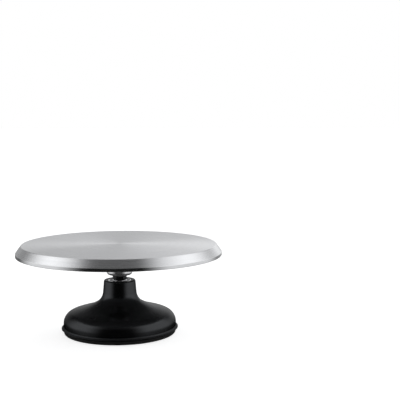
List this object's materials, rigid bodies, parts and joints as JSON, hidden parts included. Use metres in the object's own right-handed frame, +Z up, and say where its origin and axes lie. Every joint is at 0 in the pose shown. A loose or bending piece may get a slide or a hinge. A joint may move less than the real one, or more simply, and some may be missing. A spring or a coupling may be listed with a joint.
{
  "type": "cake turntable",
  "caption": "Revolving cake stand: a bevelled brushed-aluminium disc that spins on ball bearings in a black cast bell base and lifts off.",
  "frame": {"origin": "on the turning axis, in the plane that the foot stands on", "axes": "+Z up along the turning axis; the object is round, so X and Y are the directions of the cover screws"},
  "size_m": [0.3048, 0.3048, 0.133],
  "materials": {
    "base_enamel": "satin black powder coat over cast iron",
    "cover_steel": "black coated pressed sheet",
    "screw_zinc": "bright zinc",
    "foot_rubber": "black moulded rubber",
    "retainer_steel": "phosphated spring steel",
    "bearing_steel": "ground bearing steel",
    "shield_steel": "pressed steel",
    "ball_chrome": "polished",
    "cage_steel": "pressed steel",
    "spacer_steel": "turned",
    "platter_aluminium": "circularly brushed",
    "hub_aluminium": "turned and polished",
    "spindle_steel": "ground",
    "nut_black_oxide": "black oxide"
  },
  "bodies": {
    "base": {"base_housing": "base_enamel", "bottom_plate": "cover_steel", "bottom_plate_screws": "screw_zinc", "foot_ring": "foot_rubber", "bearing_retaining_ring": "retainer_steel", "upper_bearing_outer_ring": "bearing_steel", "upper_bearing_shields": "shield_steel", "lower_bearing_outer_ring": "bearing_steel", "lower_bearing_shields": "shield_steel"},
    "rotor": {"upper_bearing_inner_ring": "bearing_steel", "lower_bearing_inner_ring": "bearing_steel", "inner_spacer": "spacer_steel"},
    "upper_balls": {"upper_bearing_balls": "ball_chrome", "upper_bearing_cage": "cage_steel"},
    "lower_balls": {"lower_bearing_balls": "ball_chrome", "lower_bearing_cage": "cage_steel"},
    "platter": {"platter_disc": "platter_aluminium", "platter_hub": "hub_aluminium", "hub_screws": "screw_zinc", "spindle": "spindle_steel", "spindle_lock_nut": "nut_black_oxide"}
  },
  "joints": [
    {"name": "platter_spin", "type": "hinge", "parent": "base", "child": "rotor", "pos_m": [0, 0, 0.0727], "axis": [0, 0, 1], "continuous": true},
    {"name": "platter_lift", "type": "slide", "parent": "rotor", "child": "platter", "axis": [0, 0, 1], "range_m": [0, 0.06]},
    {"name": "upper_ball_orbit", "type": "hinge", "parent": "base", "child": "upper_balls", "pos_m": [0, 0, 0.0727], "axis": [0, 0, 1], "continuous": true},
    {"name": "lower_ball_orbit", "type": "hinge", "parent": "base", "child": "lower_balls", "pos_m": [0, 0, 0.0355], "axis": [0, 0, 1], "continuous": true}
  ],
  "couplings": [
    {"joint": "upper_ball_orbit", "follows": "platter_spin", "ratio": 0.38094},
    {"joint": "lower_ball_orbit", "follows": "platter_spin", "ratio": 0.38094}
  ]
}
